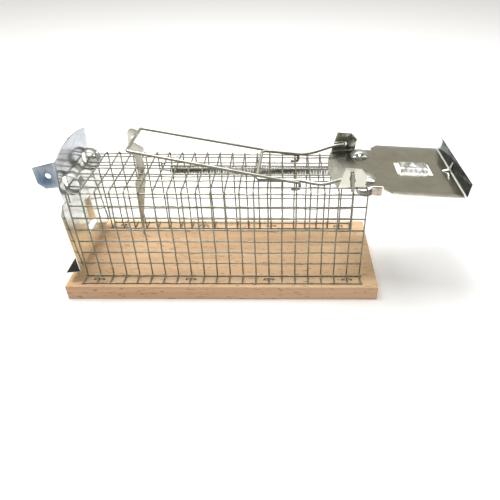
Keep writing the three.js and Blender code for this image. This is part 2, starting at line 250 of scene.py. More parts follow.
def beech_material():
    """Planed beech: pale, with short dark ray flecks along the grain and soft growth bands.
    Its side faces carry painted shade: their colour is made a little darker and redder than the planed
    top's, by the object normal's Z."""
    material, add, wire_up = shader("beech")
    bands = blotches(add, 1, 3, 0.55, stretched(add, (4, 50, 170)))
    tones = [(0.3, (0.69, 0.445, 0.255)), (0.5, (0.825, 0.565, 0.336)), (0.7, (0.93, 0.687, 0.432))]
    tone = ramp(add, bands, tones)
    pores = blotches(add, 1, 3, 0.55, stretched(add, (150, 1100, 1100)))
    fleck = ramp(add, pores, [(0.56, 0.0), (0.66, 1.0)])
    patches = ramp(add, blotches(add, 30, 2), [(0.42, 0.0), (0.62, 1.0)])
    strong = blotches(add, 1, 2, 0.5, stretched(add, (120, 620, 620), 0.02))
    dark = ramp(add, strong, [(0.635, 0.0), (0.68, 1.0)])
    marks = mixed(add, patches, fleck, (0, 0, 0, 1))
    faint = add("Math", {0: marks, 1: 0.5}, operation="MULTIPLY").outputs[0]
    colour = mixed(add, faint, tone, (0.50, 0.29, 0.15, 1))
    bold = add("Math", {0: dark, 1: 0.8}, operation="MULTIPLY").outputs[0]
    colour = mixed(add, bold, colour, (0.30, 0.13, 0.06, 1))
    # Painted shade: faces whose normals point less upward are tinted darker and redder.
    upward = add("SeparateXYZ", {0: add("TexCoord").outputs["Normal"]}).outputs["Z"]
    painted_side_shade = ramp(add, upward, [(0.3, (0.865, 0.80, 0.82)), (0.8, (1.0, 1.0, 1.0))])
    wire_up("Base Color", mixed(add, 1.0, colour, painted_side_shade, "MULTIPLY"))
    wire_up("Roughness", ramp(add, pores, [(0.3, 0.52), (0.7, 0.68)]))
    fibres = blotches(add, 1, 4, 0.6, stretched(add, (90, 2200, 2200)))
    bump = add("Bump", {"Height": fibres, "Strength": 0.25, "Distance": 0.00025})
    wire_up("Normal", bump.outputs["Normal"])
    wire_up("Specular IOR Level", 0.35)
    return material


def metal_material(name, dark, light, rough, grain=700, bump=0.12, worn=(0.5, 0.5, 0.47), under=0.6):
    """Zinc-plated wire: mottled brightness, uneven polish, fine drawing marks, and painted shade that
    darkens the colour towards the underside by the object normal's Z.
    """
    material, add, wire_up = shader(name)
    mottle = blotches(add, grain, 5, 0.65)
    colour = ramp(add, mottle, [(0.32, dark), (0.62, light)])
    wear = ramp(add, blotches(add, 90, 3), [(0.55, 0.0), (0.7, 1.0)])
    colour = mixed(add, wear, colour, (*worn, 1))
    upward = add("SeparateXYZ", {0: add("TexCoord").outputs["Normal"]}).outputs["Z"]
    # Painted shade: the colour is multiplied down to `under` where the normal points downward.
    painted_underside_shade = add("MapRange", {0: upward, 1: -0.3, 2: 0.55, 3: under, 4: 1.0}).outputs[0]
    wire_up("Base Color", mixed(add, 1.0, colour, painted_underside_shade, "MULTIPLY"))
    wire_up("Metallic", 1.0)
    wire_up("Roughness", ramp(add, blotches(add, 260, 3), [(0.3, rough[0]), (0.7, rough[1])]))
    surface = add("Bump", {"Height": blotches(add, 2 * grain, 3), "Strength": bump, "Distance": 0.0002})
    wire_up("Normal", surface.outputs["Normal"])
    return material


RAGGEDNESS = 0.3


def near_point(add, where, ragged, centre, size, soft):
    """1 inside an ellipsoid of half-sizes `size` round `centre` (mm), fading out over `soft` mm."""
    offset = add("VectorMath", {0: where, 1: Vector(centre) * MM}, operation="SUBTRACT").outputs[0]
    scale = Vector([1 / (a * MM) for a in size])
    inside = add("VectorMath", {0: offset, 1: scale}, operation="MULTIPLY").outputs[0]
    radius = add("VectorMath", {0: inside}, operation="LENGTH").outputs["Value"]
    wavy = add("Math", {0: ragged, 1: RAGGEDNESS, 2: radius}, operation="MULTIPLY_ADD").outputs[0]
    rim, edge = 1 + RAGGEDNESS / 2, soft / min(size)
    return add("MapRange", {0: wavy, 1: rim - edge, 2: rim + edge, 3: 1.0, 4: 0.0}).outputs[0]


def sheet_material(name, dark, light, rough, patches=()):
    """Bright plated sheet: soft spangle, handling scratches and a slight roller ripple.
    Each patch is (centre, half-sizes, facing, dark, light, roughness, softness): a streaked recolouring
    of the plating on the faces that look along `facing`; most are painted light (reflections, highlights,
    shade)."""
    material, add, wire_up = shader(name)
    where = add("TexCoord").outputs["Object"]
    normal = add("TexCoord").outputs["Normal"]
    colour = ramp(add, blotches(add, 55, 4, 0.6), [(0.3, dark), (0.7, light)])
    marks = scratches(add, 0.6, 1100, 0.73)
    crossing = scratches(add, -0.9, 1500, 0.74)
    both = add("Math", {0: marks, 1: crossing}, operation="MAXIMUM").outputs[0]
    faint = add("Math", {0: both, 1: 0.35}, operation="MULTIPLY").outputs[0]
    colour = mixed(add, faint, colour, (0.88, 0.88, 0.85, 1))
    polish = ramp(add, blotches(add, 35, 5, 0.65), [(0.3, rough[0]), (0.72, rough[1])])
    ragged = blotches(add, 90, 3)
    streaks = blotches(add, 1, 4, 0.6, stretched(add, (260, 90, 150), 0.7))
    for centre, size, facing, low, high, matt, soft in patches:
        towards = add("VectorMath", {0: normal, 1: facing}, operation="DOT_PRODUCT").outputs["Value"]
        seen = add("MapRange", {0: towards, 1: -0.4, 2: 0.0, 3: 0.0, 4: 1.0}).outputs[0]
        near = near_point(add, where, ragged, centre, size, soft)
        inside = add("Math", {0: near, 1: seen}, operation="MULTIPLY").outputs[0]
        # For most patches this is painted light: reflections, highlights and shade put into the base colour.
        patch_tint_and_painted_light = ramp(add, streaks, [(0.38, low), (0.62, high)])
        colour = mixed(add, inside, colour, patch_tint_and_painted_light)
        polish = mixed(add, inside, polish, (matt, matt, matt, 1))
    wire_up("Base Color", colour)
    wire_up("Metallic", 1.0)
    wire_up("Roughness", mixed(add, faint, polish, (0.45, 0.45, 0.45, 1)))
    ripple = blotches(add, 1, 2, 0.5, stretched(add, (38, 22, 38)))
    rolled = add("Bump", {"Height": ripple, "Strength": 0.35, "Distance": 0.0018}).outputs["Normal"]
    fine = blotches(add, 1500, 3)
    grain = add("Bump", {"Height": fine, "Strength": 0.05, "Distance": 0.0001, "Normal": rolled})
    wire_up("Normal", grain.outputs["Normal"])
    return material


BEECH = beech_material()
# Each metal's underside carries painted shade; the bright wire's (under=0.26) is the darkest.
MESH_METAL = metal_material(
    "mesh_zinc", (0.20, 0.19, 0.155), (0.43, 0.415, 0.345), (0.35, 0.6), bump=0.3,
    worn=(0.48, 0.465, 0.395),
)
WIRE_METAL = metal_material(
    "bright_wire", (0.52, 0.52, 0.45), (0.62, 0.61, 0.53), (0.32, 0.42), grain=500, bump=0.04,
    worn=(0.50, 0.50, 0.44), under=0.26,
)
STAPLE_METAL = metal_material("staple_zinc", (0.30, 0.30, 0.28), (0.62, 0.62, 0.58), (0.25, 0.45))
SPRING_METAL = metal_material("spring_steel", (0.16, 0.16, 0.14), (0.44, 0.43, 0.38), (0.25, 0.45))

# Recoloured places on the doors, round (x, y, z) points of the frame. Most are painted light standing in for
# reflections, highlights and shade on the mirror-like plating; the painted ones are marked below.
ANY_FACE = (0, 0, 0)
REAR_PATCHES = [
    ((-137, 0, 132), (9, 60, 19), ANY_FACE, (0.43, 0.45, 0.485), (0.53, 0.555, 0.60), 0.16, 3.0),
    ((-149, -41, 119), (14, 3, 14), ANY_FACE, (0.035, 0.075, 0.15), (0.10, 0.16, 0.225), 0.22, 2.0),
    # Painted reflection: the rear plate's low inner face is made pale, standing in for the bright board it
    # mirrors.
    ((-139, 0, 48), (9, 70, 17), (1, 0, 0), (0.88, 0.90, 0.83), (0.97, 0.98, 0.92), 0.16, 3.0),
    # Painted shade: the rear flange's upturned face is made near black.
    ((-150, 0, 24), (20, 160, 9), (-0.5, 0, 1), (0.025, 0.025, 0.025), (0.07, 0.07, 0.065), 0.35, 0.8),
    # Painted reflection: the rear bridge's inner face is tinted greenish grey in place of the tan board it
    # mirrors.
    ((-142.6, 0, 61), (5, 14, 15), (1, 0, 0), (0.56, 0.61, 0.54), (0.66, 0.71, 0.62), 0.18, 1.0),
]
FRONT_PATCHES = [
    # Painted dark reflection on the front flange's inner face, near black.
    ((221.2, -10, 116.5), (5.4, 130, 14), (-1, 0, 0), (0.035, 0.045, 0.04), (0.12, 0.145, 0.135), 0.16, 0.6),
    # Painted reflection of the pale backdrop: a pale lavender corner of the front flange.
    ((218.5, 51, 119), (4, 9, 8), (-1, 0, 0), (0.70, 0.71, 0.74), (0.84, 0.85, 0.88), 0.16, 1.0),
    # Painted reflections on the far ear: near black with light streaks.
    ((118, 41, 124), (14, 2.5, 13), (0, -1, 0), (0.04, 0.05, 0.035), (0.60, 0.62, 0.56), 0.2, 1.2),
    # Painted dark reflection on the plate's top face round the far hinge loop.
    ((124, 24, 113), (11, 14, 3), (0, 0, 1), (0.08, 0.10, 0.10), (0.42, 0.44, 0.42), 0.22, 2.0),
    # Painted bright reflection: the front fan is made pale cream and rougher.
    ((108, -10, 113), (12, 30, 3), ANY_FACE, (0.74, 0.76, 0.68), (0.97, 0.97, 0.89), 0.32, 2.0),
    # Painted reflection of the board: a tan patch on the near side tab.
    ((141.5, -39.8, 108), (5.5, 2, 4), (0, -1, 0), (0.34, 0.28, 0.22), (0.54, 0.45, 0.37), 0.2, 0.4),
    # Painted highlight: a near-white, rough strip along the flange fold.
    ((217, 0, 109.9), (0.9, 140, 0.9), ANY_FACE, (0.94, 0.95, 0.93), (0.99, 0.99, 0.98), 0.42, 0.25),
    # Painted highlights and dark reflections, in streaks, on the bridge top.
    ((180.7, 0, 113.5), (15, 14, 5), (0, 0, 1), (0.34, 0.35, 0.33), (0.97, 0.97, 0.95), 0.42, 0.8),
]
TRIGGER_PATCHES = [
    ((-80, 0, 60), (16, 8, 46), ANY_FACE, (0.36, 0.32, 0.22), (0.52, 0.47, 0.35), 0.42, 5.0),
]
REAR_SHEET = sheet_material(
    "rear_door_sheet", (0.58, 0.59, 0.57), (0.72, 0.73, 0.71), (0.12, 0.22), REAR_PATCHES,
)
LOOP_SHEET = sheet_material("loop_sheet", (0.42, 0.44, 0.41), (0.58, 0.60, 0.56), (0.40, 0.52))
# A whiter, rougher copy of the plating: painted highlight on the gusset.
GUSSET_SHEET_PAINTED_HIGHLIGHT = sheet_material("gusset_sheet_painted_highlight", (0.86, 0.86, 0.82), (0.97, 0.97, 0.94), (0.30, 0.42))
FRONT_SHEET = sheet_material(
    "front_door_sheet", (0.58, 0.565, 0.49), (0.70, 0.68, 0.60), (0.10, 0.22), FRONT_PATCHES,
)
TRIGGER_SHEET = sheet_material(
    "trigger_sheet", (0.60, 0.58, 0.50), (0.76, 0.74, 0.66), (0.24, 0.38), TRIGGER_PATCHES,
)


# ---------------------------------------------------------------- the board

BOARD_EDGE = 0.7


def finish_board():
    """Gives the CAD board its finish and eased edges."""
    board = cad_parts["base_board"]
    board.data.materials.clear()
    board.data.materials.append(BEECH)
    edges = board.modifiers.new("eased edges", "BEVEL")
    edges.width = BOARD_EDGE * MM
    edges.segments = 3
    edges.limit_method = "ANGLE"
    edges.angle_limit = math.radians(50)
    edges.use_clamp_overlap = False
    edges.harden_normals = True


finish_board()


# ---------------------------------------------------------------- the mesh tunnel

def swayed(p):
    """Hand-bent mesh is never true: the whole sheet leans a little, and each wire kinks between welds.
    The sway dies out at the feet, where staples hold it, and at the end wires, which carry the doors."""
    held = min(1, max(0, (p.z - TOP - 3) / 25)) * min(1, max(0, (HINGE_X - abs(p.x)) / 30 + 0.25))
    lean = noise.noise_vector(p * SWAY_SCALE) * SWAY * held
    kink = noise.noise_vector(p * JITTER_SCALE + Vector((7, 3, 5))) * JITTER * (0.35 + 0.65 * held)
    return p + lean + kink


cross_xs = [i * PITCH - HINGE_X for i in range(CROSS_WIRES)]
wall_zs = [TOP + 14.9 + k * PITCH for k in range(7)]
roof_ys = [(k - 2.5) * PITCH for k in range(6)]
FOOT_Z = TOP + 0.3 + WIRE / 2


def cross_wire_corners(x):
    """One bent cross wire: foot, wall, roof, wall, foot, outside the long wires."""
    y_wall, y_foot = WALL_Y + WELD_SINK, FLANGE_Y + MESH_STUB - 1
    z_roof, z_foot = ROOF_Z + WELD_SINK, FOOT_Z + WELD_SINK
    return [
        (x, -y_foot, z_foot), (x, -y_wall, z_foot), (x, -y_wall, z_roof),
        (x, y_wall, z_roof), (x, y_wall, z_foot), (x, y_foot, z_foot),
    ]


def long_wire_places():
    """(y, z) of every long wire, inside the cross wires."""
    places = [(y, ROOF_Z - WELD_SINK) for y in roof_ys]
    for side in (-1, 1):
        places += [(side * (WALL_Y - WELD_SINK), z) for z in wall_zs]
        places.append((side * (WALL_Y + 1.2), FOOT_Z - 0.15))
        places.append((side * FLANGE_Y, FOOT_Z - 0.15))
    return places


def build_mesh_sheet():
    cross = bmesh.new()
    for x in cross_xs:
        path = eased(cross_wire_corners(x), ROOF_BEND, 1.6)
        sweep(cross, [swayed(p) for p in path], WIRE_R, 8)
    nodes = [f"mesh_{n}" for n in ("near_flange", "near_wall", "roof", "far_wall", "far_flange")]
    piece("mesh_cross_wires", cross, "cage", MESH_METAL, nodes)
    along = bmesh.new()
    for y, z in long_wire_places():
        on_wall = abs(y) < FLANGE_Y - 5 and FOOT_Z + 2 < z
        ends = HINGE_X + (WALL_STUB if on_wall else MESH_STUB)
        path = eased([(-ends, y, z), (ends, y, z)], 0, 2.0)
        sweep(along, [swayed(p) for p in path], WIRE_R, 8)
    piece("mesh_long_wires", along, "cage", MESH_METAL)
    welds = bmesh.new()
    for y, z in long_wire_places():
        for x in cross_xs:
            add_weld(welds, swayed(Vector((x, y, z))), y, z)
    piece("mesh_welds", welds, "cage", MESH_METAL)


def add_weld(bm, at, y, z):
    """A small zinc fillet where two wires are welded, between their two centre lines."""
    on_wall = abs(y) > WALL_Y - 2 and z > FOOT_Z + 2
    outward = Vector((0, math.copysign(WELD_SINK, y), 0)) if on_wall else Vector((0, 0, WELD_SINK))
    made = bmesh.ops.create_icosphere(bm, subdivisions=1, radius=WELD_R * MM)
    for vertex in made["verts"]:
        vertex.co = vertex.co + (at + outward) * MM


build_mesh_sheet()


# ---------------------------------------------------------------- staples

STAPLED_WIRES = (1, 8, 14, 20)
STAPLE_R = 0.55
STAPLE_HALF_SPAN = 4.6
STAPLE_DEPTH = 8.5
STAPLE_ARCH = 0.9
STAPLE_BEND = 1.3


def build_staples():
    """A staple over every chosen cross wire, near and far, pressed a little into it."""
    y_mid = (WALL_Y + FLANGE_Y) / 2
    crown = FOOT_Z + WELD_SINK + WIRE_R + STAPLE_R * 0.8
    shoulder = crown - STAPLE_ARCH
    foot = TOP - STAPLE_DEPTH
    for side, sign in (("near", -1), ("far", 1)):
        for number, wire_number in enumerate(STAPLED_WIRES, 1):
            x, y = cross_xs[wire_number], sign * y_mid
            left, right = x - STAPLE_HALF_SPAN, x + STAPLE_HALF_SPAN
            corners = [
                (left, y, foot), (left, y, shoulder), (x, y, crown), (right, y, shoulder), (right, y, foot),
            ]
            name = f"staple_{side}_{number}"
            wire_piece(
                f"wire_{name}", corners, STAPLE_R, STAPLE_BEND, "cage", STAPLE_METAL, [name],
                step=0.5,
            )


build_staples()


# ---------------------------------------------------------------- doors

# A door is drawn as a flat blank: y across it, w up from the hinge wire, and n out of the sheet.
# Folded, it is (u, y, w), u being how far it stands out from the wire.
SHEET = 0.8
SHEET_MID = 5.3
SHEET_EDGE = 0.12
BEND_R = 1.2
BEND_STEPS = 6
BEND_MARGIN = 0.5
EAR_BEND_Y = 38.4
EAR_FLAT = 33.785
EAR_HOLE_Y, EAR_HOLE_W, EAR_HOLE_R = EAR_FLAT + 12.5, 14, 2.5
REAR_FAR_EAR = math.radians(140)
FLANGE_ANGLE = math.radians(85.9)
FLANGE_LENGTH = 12.32
FOLD_INSET = 1.49
REAR_FOLD_DROP = 80.5
FRONT_FOLD_DROP = 84.5
REAR_LEAN = math.radians(-2.7)
FRONT_OPEN = math.radians(-87.2)
FAN_TILT = math.radians(7)
FAN_TOP, FAN_RISE = 33, 6.0
NECK = 40
NECK_FOOT = -13
HALF_WIDTH = 52
RIPPLE = 0.10
RIPPLE_SCALE = 0.035
GRID_STEP = 6.5
LOOP_R = 9.6
LOOP_WIDTH = 9.6
LOOP_Y = 25.4
LOOP_SLOT_W = 8.4
LOOP_START, LOOP_SWEEP, LOOP_STEPS = math.radians(150), math.radians(352), 56
TAB_TOP, TAB_BOTTOM, TAB_REACH = -3.5, -12.5, 3.0
WINDOW_Y = 12
WINDOW_SLOTS = ((-34, -31), (-64.5, -60))
WINDOW_HOLE_W, WINDOW_HOLE_R = -47, 3
BRIDGE_RISE = 4
BRIDGE_SLOPE = 6
GUSSET_PATH = ((0, 8), (0.9, 3), (1.9, 1.3), (4, 0.5), (9, -0.45))
GUSSET_HEIGHT = 1.12
GUSSET_HALF_WIDTH = 2.0
GUSSET_SIDES = 10


def arc_points(centre, radius, start, end, count):
    return [
        (centre[0] + radius * math.cos(start + (end - start) * i / count),
         centre[1] + radius * math.sin(start + (end - start) * i / count))
        for i in range(count + 1)
    ]


def rounded_outline(points, radius, count=4):
    """A closed outline with every corner rounded off by `radius`."""
    out = []
    for i, p in enumerate(points):
        corner = Vector(p)
        before, after = Vector(points[i - 1]), Vector(points[(i + 1) % len(points)])
        reach = min(radius, (before - corner).length / 2.2, (after - corner).length / 2.2)
        a = corner + (before - corner).normalized() * reach
        b = corner + (after - corner).normalized() * reach
        for k in range(count + 1):
            t = k / count
            q = a * (1 - t) ** 2 + corner * (2 * t * (1 - t)) + b * t * t
            out.append((q.x, q.y))
    return out


def box_outline(y0, y1, w0, w1):
    return [(y0, w0), (y1, w0), (y1, w1), (y0, w1)]


def flat_blank(outlines, thickness, edge=SHEET_EDGE):
    """A flat plate with holes as a bmesh in (a, b, depth), its edges slightly rounded."""
    curve = bpy.data.curves.new("blank", "CURVE")
    curve.dimensions = "2D"
    curve.fill_mode = "BOTH"
    curve.extrude = thickness / 2 - edge
    curve.bevel_depth = edge
    curve.bevel_resolution = 1
    curve.offset = -edge
    for points in outlines:
        spline = curve.splines.new("POLY")
        spline.points.add(len(points) - 1)
        for target, (a, b) in zip(spline.points, points):
            target.co = (a, b, 0, 1)
        spline.use_cyclic_u = True
    holder = bpy.data.objects.new("blank", curve)
    bpy.context.scene.collection.objects.link(holder)
    mesh = bpy.data.meshes.new_from_object(holder)
    bpy.data.objects.remove(holder)
    bm = bmesh.new()
    bm.from_mesh(mesh)
    bmesh.ops.remove_doubles(bm, verts=bm.verts, dist=0.004)
    return bm


def cut(bm, point, normal, where=lambda c: True):
    """Cuts the faces whose centre passes `where` along a plane."""
    faces = [f for f in bm.faces if where(f.calc_center_median())]
    geometry = faces + list({e for f in faces for e in f.edges}) + list({v for f in faces for v in f.verts})
    bmesh.ops.bisect_plane(bm, geom=geometry, plane_co=point, plane_no=normal, dist=1e-5)


def folded(distance, offset, angle, radius=BEND_R):
    """Where a point `distance` past the start of a bend ends up: (along, towards the bend)."""
    if distance < 0:
        return distance, offset
    turn = min(distance / radius, angle)
    rest = max(distance - radius * angle, 0)
    along = (radius - offset) * math.sin(turn) + rest * math.cos(angle)
    towards = radius - (radius - offset) * math.cos(turn) + rest * math.sin(angle)
    return along, towards


def smooth(t):
    t = min(1, max(0, t))
    return t * t * (3 - 2 * t)


def fold_door(p, bend_w, left_ear):
    """Folds a point of the flat door blank (y, w, n) into the closed door's (u, y, w).
    `left_ear` is the angle the ear at negative y is bent by; the other is bent square."""
    y, w, n = p
    on_bridge = abs(y) < WINDOW_Y and WINDOW_SLOTS[1][1] - 0.01 < w < WINDOW_SLOTS[0][0] + 0.01
    if on_bridge:
        n += BRIDGE_RISE * smooth((WINDOW_Y - abs(y)) / BRIDGE_SLOPE)
    else:
        n += noise.noise(Vector((y, w, 0)) * RIPPLE_SCALE) * RIPPLE
    if abs(y) > EAR_BEND_Y and w > 0:
        along, towards = folded(abs(y) - EAR_BEND_Y, n, left_ear if y < 0 else math.pi / 2)
        at = Vector((SHEET_MID + towards, math.copysign(EAR_BEND_Y + along, y), w))
    elif abs(y) > EAR_BEND_Y and TAB_BOTTOM - 0.1 < w < TAB_TOP + 0.1:
        along, towards = folded(abs(y) - EAR_BEND_Y, -n, math.pi / 2)
        at = Vector((SHEET_MID - towards, math.copysign(EAR_BEND_Y + along, y), w))
    elif w < bend_w:
        along, towards = folded(bend_w - w, n, FLANGE_ANGLE)
        at = Vector((SHEET_MID + towards, y, bend_w - along))
    else:
        at = Vector((SHEET_MID + n, y, w))
    tilt = -FAN_TILT * smooth((w + 2) / 4)
    rise, out = at.z, at.x - SHEET_MID
    at.x = SHEET_MID + out * math.cos(tilt) + rise * math.sin(tilt)
    at.z = rise * math.cos(tilt) - out * math.sin(tilt)
    return at


def circle_outline(y, w, radius, count=24):
    return arc_points((y, w), radius, 0, 2 * math.pi, count)[:-1]


def door_outlines(bend_w):
    """The flat blank's outline, then its holes: loop slots, ear holes and the lanced window."""
    flange_end = bend_w - BEND_R * FLANGE_ANGLE - FLANGE_LENGTH
    tab_y = EAR_FLAT + 10.6 + TAB_REACH
    side_y = NECK - 0.3
    plate = [(HALF_WIDTH, flange_end), (HALF_WIDTH, -20), (44, NECK_FOOT), (side_y, NECK_FOOT)]
    tab = [(side_y, TAB_BOTTOM), (tab_y, TAB_BOTTOM), (tab_y, TAB_TOP), (side_y, TAB_TOP)]
    ear = [
        (side_y, 3.4), (EAR_FLAT + 16.6, 1.3), (EAR_FLAT + 22.9, 6), (EAR_FLAT + 24.9, 20.5), (NECK, 27),
    ]
    right = plate + tab + ear
    left = [(-y, w) for y, w in reversed(right)]
    radius = (NECK ** 2 + FAN_RISE ** 2) / (2 * FAN_RISE)
    spread = math.asin((NECK - 0.6) / radius)
    fan = arc_points((0, FAN_TOP - radius), radius, math.pi / 2 - spread, math.pi / 2 + spread, 40)
    outlines = [right + fan + left]
    half_slot = LOOP_WIDTH / 2 - 0.4
    for side in (-1, 1):
        y = side * LOOP_Y
        outlines.append(box_outline(y - half_slot, y + half_slot, -LOOP_SLOT_W, LOOP_SLOT_W))
        outlines.append(circle_outline(side * EAR_HOLE_Y, EAR_HOLE_W, EAR_HOLE_R))
    for low, high in WINDOW_SLOTS:
        outlines.append(rounded_outline(box_outline(-WINDOW_Y, WINDOW_Y, low, high), 0.8))
    outlines.append(circle_outline(0, WINDOW_HOLE_W, WINDOW_HOLE_R))
    return outlines


def bend_cuts(angle):
    """Distances past the start of a bend at which the sheet is cut, from just before it to just after."""
    arc = BEND_R * angle
    return [-BEND_MARGIN] + [arc * k / BEND_STEPS for k in range(BEND_STEPS + 1)] + [arc + BEND_MARGIN]


def in_ear(c):
    return c.y > NECK_FOOT and abs(c.x) > 30


def in_bridge(c):
    return abs(c.x) < WINDOW_Y and WINDOW_SLOTS[1][1] < c.y < WINDOW_SLOTS[0][0]


def cut_door_grid(bm, bend_w):
    """Cuts the blank at its bends, bridge slopes and a coarse grid, so that it can bend and ripple."""
    count = int(HALF_WIDTH / GRID_STEP)
    for i in range(-count, count + 1):
        cut(bm, (i * GRID_STEP, 0, 0), (1, 0, 0))
    for i in range(-12, 5):
        cut(bm, (0, i * GRID_STEP, 0), (0, 1, 0))
    for w in (-2, -1, 0, 1, 2):
        cut(bm, (0, w, 0), (0, 1, 0))
    for side in (-1, 1):
        for d in bend_cuts(math.pi / 2):
            cut(bm, (side * (EAR_BEND_Y + d), 0, 0), (1, 0, 0), in_ear)
        for k in range(13):
            y = WINDOW_Y - BRIDGE_SLOPE * k / 12
            cut(bm, (side * y, 0, 0), (1, 0, 0), in_bridge)
    for d in bend_cuts(FLANGE_ANGLE):
        cut(bm, (0, bend_w - d, 0), (0, 1, 0))


def build_door(name, fold_drop, to_place, body, material, left_ear=math.pi / 2):
    """A door: its folded sheet, the gusset across its fold and its two hinge loops."""
    bend_w = -fold_drop + FOLD_INSET
    bm = flat_blank(door_outlines(bend_w), SHEET)
    cut_door_grid(bm, bend_w)
    for vertex in bm.verts:
        vertex.co = to_place @ fold_door(vertex.co, bend_w, left_ear) * MM
    piece(f"{name}_sheet", bm, body, material, [name], sharp=32)
    build_gusset(f"{name}_gusset", fold_drop, to_place, body, GUSSET_SHEET_PAINTED_HIGHLIGHT)
    for side, label in ((-1, "near"), (1, "far")):
        build_loop(f"{name}_loop_{label}", side * LOOP_Y, to_place, body, LOOP_SHEET)


def build_gusset(name, fold_drop, to_place, body, material):
    """The dart pressed across the flange fold to stiffen it: a ridge that fades out up both faces."""
    corner_u, corner_w = SHEET_MID + SHEET / 2, -fold_drop + SHEET
    path = eased([(corner_u + u, 0, corner_w + w) for u, w in GUSSET_PATH], 3, 0.5)
    outward = Vector((1, 0, 1)).normalized()
    bm = bmesh.new()
    rings = []
    for i, p in enumerate(path):
        swell = math.sin(math.pi * i / (len(path) - 1)) ** 0.6 + 0.02
        ring = []
        for k in range(GUSSET_SIDES):
            angle = 2 * math.pi * k / GUSSET_SIDES
            side = GUSSET_HALF_WIDTH * (0.35 + 0.65 * swell) * math.cos(angle)
            under = 1 if k <= GUSSET_SIDES / 2 else 0.5
            lift = GUSSET_HEIGHT * swell * under * math.sin(angle)
            ring.append(bm.verts.new(to_place @ (p + Vector((0, side, 0)) + outward * lift) * MM))
        rings.append(ring)
    skin(bm, rings)
    piece(name, bm, body, material, sharp=60)


def build_loop(name, y, to_place, body, material):
    """A hinge loop: a strip rolled round the end wire, its two ends meeting behind the sheet."""
    half, t, edge = LOOP_WIDTH / 2, SHEET / 2, SHEET_EDGE
    section = [
        (-half + edge, -t), (half - edge, -t), (half, -t + edge), (half, t - edge),
        (half - edge, t), (-half + edge, t), (-half, t - edge), (-half, -t + edge),
    ]
    bm = bmesh.new()
    rings = []
    for i in range(LOOP_STEPS + 1):
        angle = LOOP_START + LOOP_SWEEP * i / LOOP_STEPS
        radial = Vector((math.cos(angle), 0, math.sin(angle)))
        points = [radial * (LOOP_R + r) + Vector((0, y + a, 0)) for a, r in section]
        rings.append([bm.verts.new(to_place @ point * MM) for point in points])
    skin(bm, rings)
    piece(name, bm, body, material, sharp=50)


REAR_PLACE = (
    Matrix.Translation((-HINGE_X, 0, ROOF_Z))
    @ Matrix.Rotation(REAR_LEAN, 4, "Y")
    @ Matrix.Rotation(math.pi, 4, "Z")
)
FRONT_PLACE = Matrix.Translation((HINGE_X, 0, ROOF_Z)) @ Matrix.Rotation(FRONT_OPEN, 4, "Y")
build_door("rear_door", REAR_FOLD_DROP, REAR_PLACE, "rear_door", REAR_SHEET, REAR_FAR_EAR)
build_door("front_door", FRONT_FOLD_DROP, FRONT_PLACE, "front_door", FRONT_SHEET)


# ---------------------------------------------------------------- arm and bail

# Legs are (x, y, height above the roof), from the crossbar outwards.
ARM_R, ARM_BEND = 1.6, 5
ARM_THROUGH_EAR = [(111.5, 36.4, 11.2), (119.1, 37, 11.5), (119.1, 43, 11.5)]
ARM_END = [(118.2, 42.7, 20.2), (119.4, 42.7, 2)]
ARM_FAR = [
    (37.5, 25.2, 10), (66, 25.5, 7.4), (76, 25.8, 6), (88, 31, 5.8), (104, 34.8, 9.8),
] + ARM_THROUGH_EAR
ARM_NEAR = [
    (34, 25.2, 4.8), (66, 25.5, 3.8), (76, 25.8, 3.6), (87, 31.5, 3.8), (95, 33.5, 4.4), (104, 35, 8),
] + ARM_THROUGH_EAR
BAIL_R, BAIL_BEND = 1.38, 3
BAIL_X = 5.5 * PITCH
BAIL_LEG = [
    (-78, 26, 31.75), (64.85, 29.2, 4.6), (BAIL_X + 3.3, 29.3, 3.8), (BAIL_X + 3.3, 29.3, -2.9),
    (BAIL_X - 4.5, 29.3, -2.9),
]


def wire_u(near, far):
    """A U of wire: its near leg in reverse, then its far leg, from heights above the roof."""
    start = [(x, -y, ROOF_Z + z) for x, y, z in reversed(near)]
    return start + [(x, y, ROOF_Z + z) for x, y, z in far]


wire_piece(
    "arm_wire", wire_u(ARM_NEAR, ARM_FAR), ARM_R, ARM_BEND, "front_door", WIRE_METAL,
    ["door_arm"], step=0.9, sides=16,
)
for sign, side in ((-1, "near"), (1, "far")):
    wire_piece(
        f"arm_end_{side}", [(x, sign * y, ROOF_Z + z) for x, y, z in ARM_END], ARM_R, 0,
        "front_door", WIRE_METAL, sides=16,
    )
wire_piece(
    "bail_wire", wire_u(BAIL_LEG, BAIL_LEG), BAIL_R, BAIL_BEND, "bail", WIRE_METAL,
    ["bail"], step=0.9, sides=16,
)


# ---------------------------------------------------------------- trigger

# Outlines are (x, height above the board).
TRIGGER_X = -6 * PITCH
TRIGGER_THICKNESS = 1.2
PIN_Z = ROOF_Z - 2
PIN_R = 1.0
PIN_HOLE_R = 1.3
SPOON = ((-74, 133), (-79, 137.7), (-84, 133), (-83, 127))
BLADE = [
    (-84, 118), (-80, 106), (-80, 89), (-84.4, 80), (-85.6, 48), (-86, 22), (-84.6, 19), (-82, 40),
    (-78.6, 60), (-73.8, 82), (-72.4, 102),
]
BEAK = [
    (-74, 109), (-70.2, 113.6), (-70.4, 116.4), (-79.6, 122), (-80.6, 125.6), (-79, 128), (-71.4, 129.4),
]


def bezier(a, b, c, d, count=14):
    return [
        tuple(
            a[k] * (1 - t) ** 3 + 3 * b[k] * t * (1 - t) ** 2 + 3 * c[k] * t * t * (1 - t) + d[k] * t ** 3
            for k in (0, 1)
        )
        for t in (i / count for i in range(count + 1))
    ]


